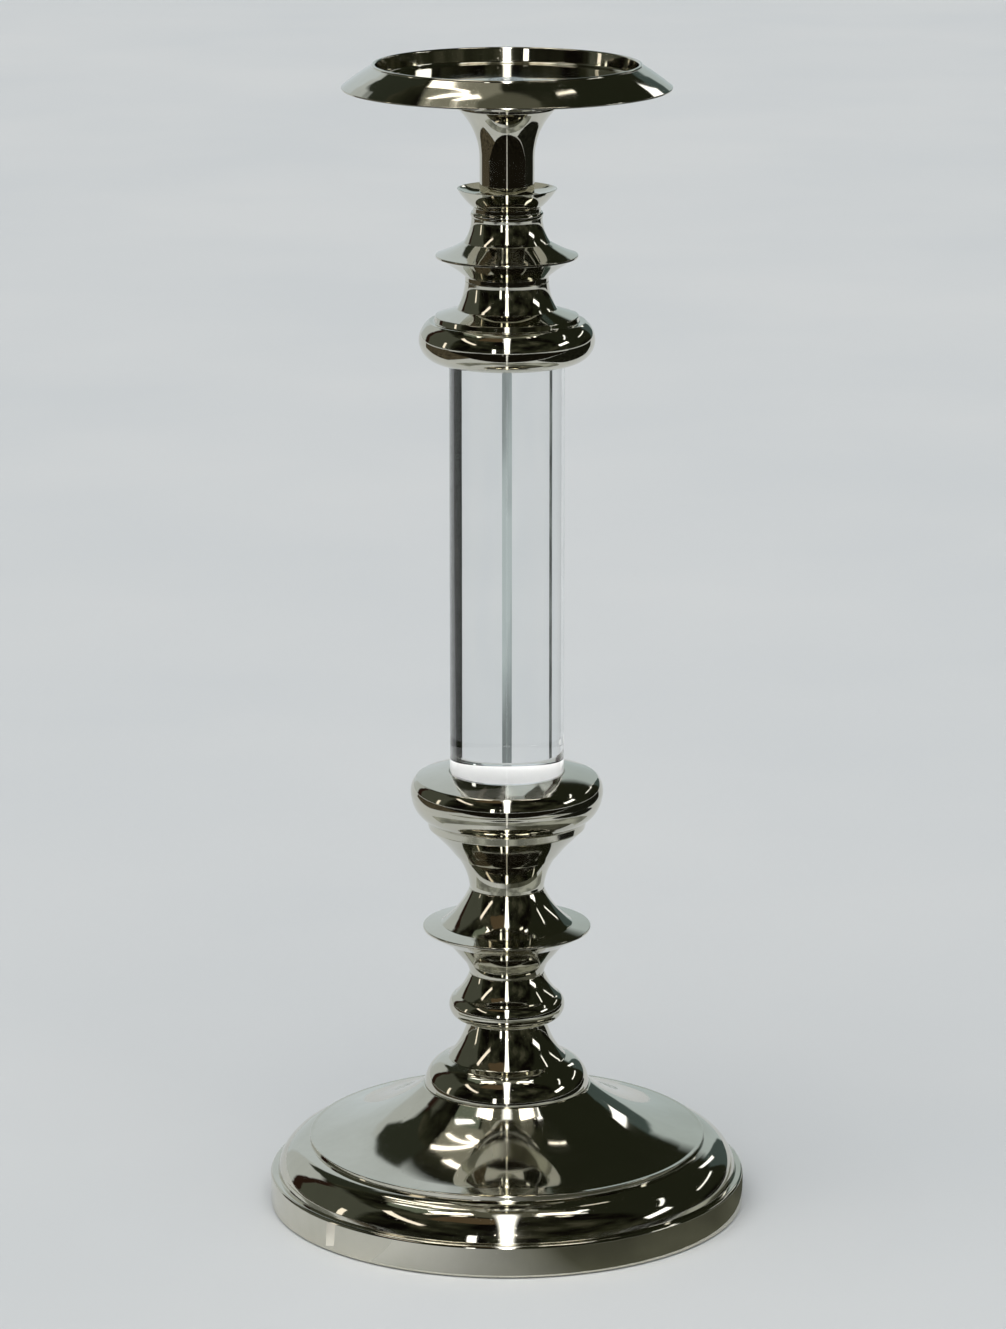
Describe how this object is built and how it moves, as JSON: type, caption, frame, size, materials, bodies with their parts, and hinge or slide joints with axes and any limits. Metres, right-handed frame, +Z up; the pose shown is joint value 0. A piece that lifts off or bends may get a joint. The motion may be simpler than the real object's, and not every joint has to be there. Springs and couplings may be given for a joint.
{
  "type": "altar candlestick",
  "caption": "Altar candlestick: turned polished nickel stem with a clear acrylic column, a domed round base and a wide plate with a raised rim for a pillar candle.",
  "frame": {"origin": "on the axis, in the plane that the felt rests on", "axes": "+Z up along the stem's axis; X and Y are any two directions across it"},
  "size_m": [0.1686, 0.1686, 0.4064],
  "materials": {
    "polished_nickel": "mirror-polished nickel plate on turned brass",
    "clear_acrylic": "clear polished cast acrylic",
    "mounting_pad": "white foam mounting pad",
    "zinc_steel": "bright zinc plate",
    "cast_iron": "rough casting, painted",
    "felt": "dark green wool felt"
  },
  "bodies": {
    "root": {"base_shell": "polished_nickel", "base_ferrule": "polished_nickel", "knob": "polished_nickel", "lower_flange": "polished_nickel", "capital": "polished_nickel", "upper_collar": "polished_nickel", "upper_disc": "polished_nickel", "cup_neck": "polished_nickel", "candle_plate": "polished_nickel", "base_cover": "zinc_steel", "cover_screws": "zinc_steel", "lower_tie_rod": "zinc_steel", "upper_tie_rod": "zinc_steel", "base_washer": "zinc_steel", "base_spring_washer": "zinc_steel", "base_nut": "zinc_steel", "plate_screw": "zinc_steel", "base_weight": "cast_iron", "felt_pad": "felt", "column": "clear_acrylic", "column_pad_lower": "mounting_pad", "column_pad_upper": "mounting_pad"}
  },
  "joints": []
}
